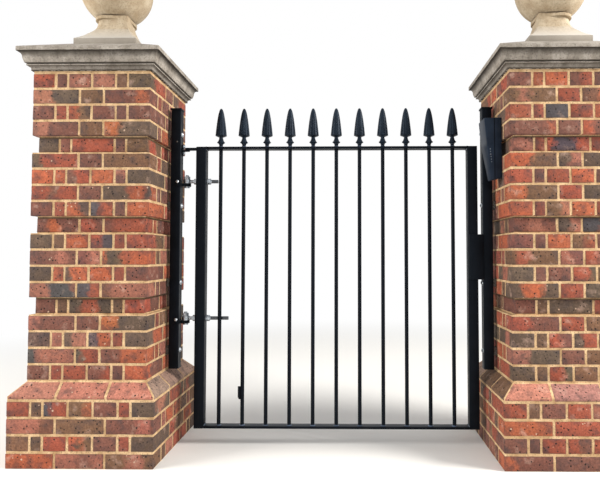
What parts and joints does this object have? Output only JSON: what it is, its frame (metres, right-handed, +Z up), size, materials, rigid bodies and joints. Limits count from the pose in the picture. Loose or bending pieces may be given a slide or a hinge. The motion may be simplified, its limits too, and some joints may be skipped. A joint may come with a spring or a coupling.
{
  "type": "wrought iron driveway gate with brick piers",
  "caption": "Single-leaf vertical-bar iron gate with fluted spear railheads, hung on steel posts between brick piers with moulded stone caps and ball finials.",
  "frame": {"origin": "ground level, middle of the opening and of the piers' depth", "axes": "+X across the opening to the latch side, +Y towards the house (the side the leaf opens to), +Z up"},
  "size_m": [2.8776, 0.665, 2.495],
  "materials": {
    "brickwork": null,
    "cap_stone": null,
    "finial_stone": null,
    "black_painted_steel": "satin black paint",
    "black_cast_iron": "satin black paint on castings",
    "galvanised_steel": "bright zinc plating"
  },
  "bodies": {
    "piers_and_posts": {"left_pier": "brickwork", "left_cap": "cap_stone", "left_finial_base": "finial_stone", "left_finial_ball": "finial_stone", "right_pier": "brickwork", "right_cap": "cap_stone", "right_finial_base": "finial_stone", "right_finial_ball": "finial_stone", "hinge_post": "black_painted_steel", "hinge_post_packers": "galvanised_steel", "hinge_post_bolts": "galvanised_steel", "latch_post": "black_painted_steel", "latch_post_packers": "galvanised_steel", "latch_post_bolts": "galvanised_steel", "lower_hinge_bracket": "black_painted_steel", "upper_hinge_bracket": "black_painted_steel", "lower_hinge_pin": "galvanised_steel", "upper_hinge_pin": "galvanised_steel", "top_pivot_bracket": "black_painted_steel", "strike_plate": "black_painted_steel", "entry_housing": "black_painted_steel"},
    "leaf": {"hinge_stile": "black_painted_steel", "latch_stile": "black_painted_steel", "top_rail": "black_painted_steel", "bottom_rail": "black_painted_steel", "lower_eye_bolt": "galvanised_steel", "upper_eye_bolt": "galvanised_steel", "top_pivot_arm": "black_painted_steel", "bar_tab": "black_painted_steel", "bar_01": "black_painted_steel", "bar_02": "black_painted_steel", "bar_03": "black_painted_steel", "bar_04": "black_painted_steel", "bar_05": "black_painted_steel", "bar_06": "black_painted_steel", "bar_07": "black_painted_steel", "bar_08": "black_painted_steel", "bar_09": "black_painted_steel", "bar_10": "black_painted_steel", "bar_11": "black_painted_steel", "railhead_01": "black_cast_iron", "railhead_02": "black_cast_iron", "railhead_03": "black_cast_iron", "railhead_04": "black_cast_iron", "railhead_05": "black_cast_iron", "railhead_06": "black_cast_iron", "railhead_07": "black_cast_iron", "railhead_08": "black_cast_iron", "railhead_09": "black_cast_iron", "railhead_10": "black_cast_iron", "railhead_11": "black_cast_iron"}
  },
  "joints": [
    {"name": "leaf_hinge", "type": "hinge", "parent": "piers_and_posts", "child": "leaf", "pos_m": [-0.74, 0.0125, 0.9775], "axis": [0, 0, 1], "range_deg": [0, 90]}
  ]
}
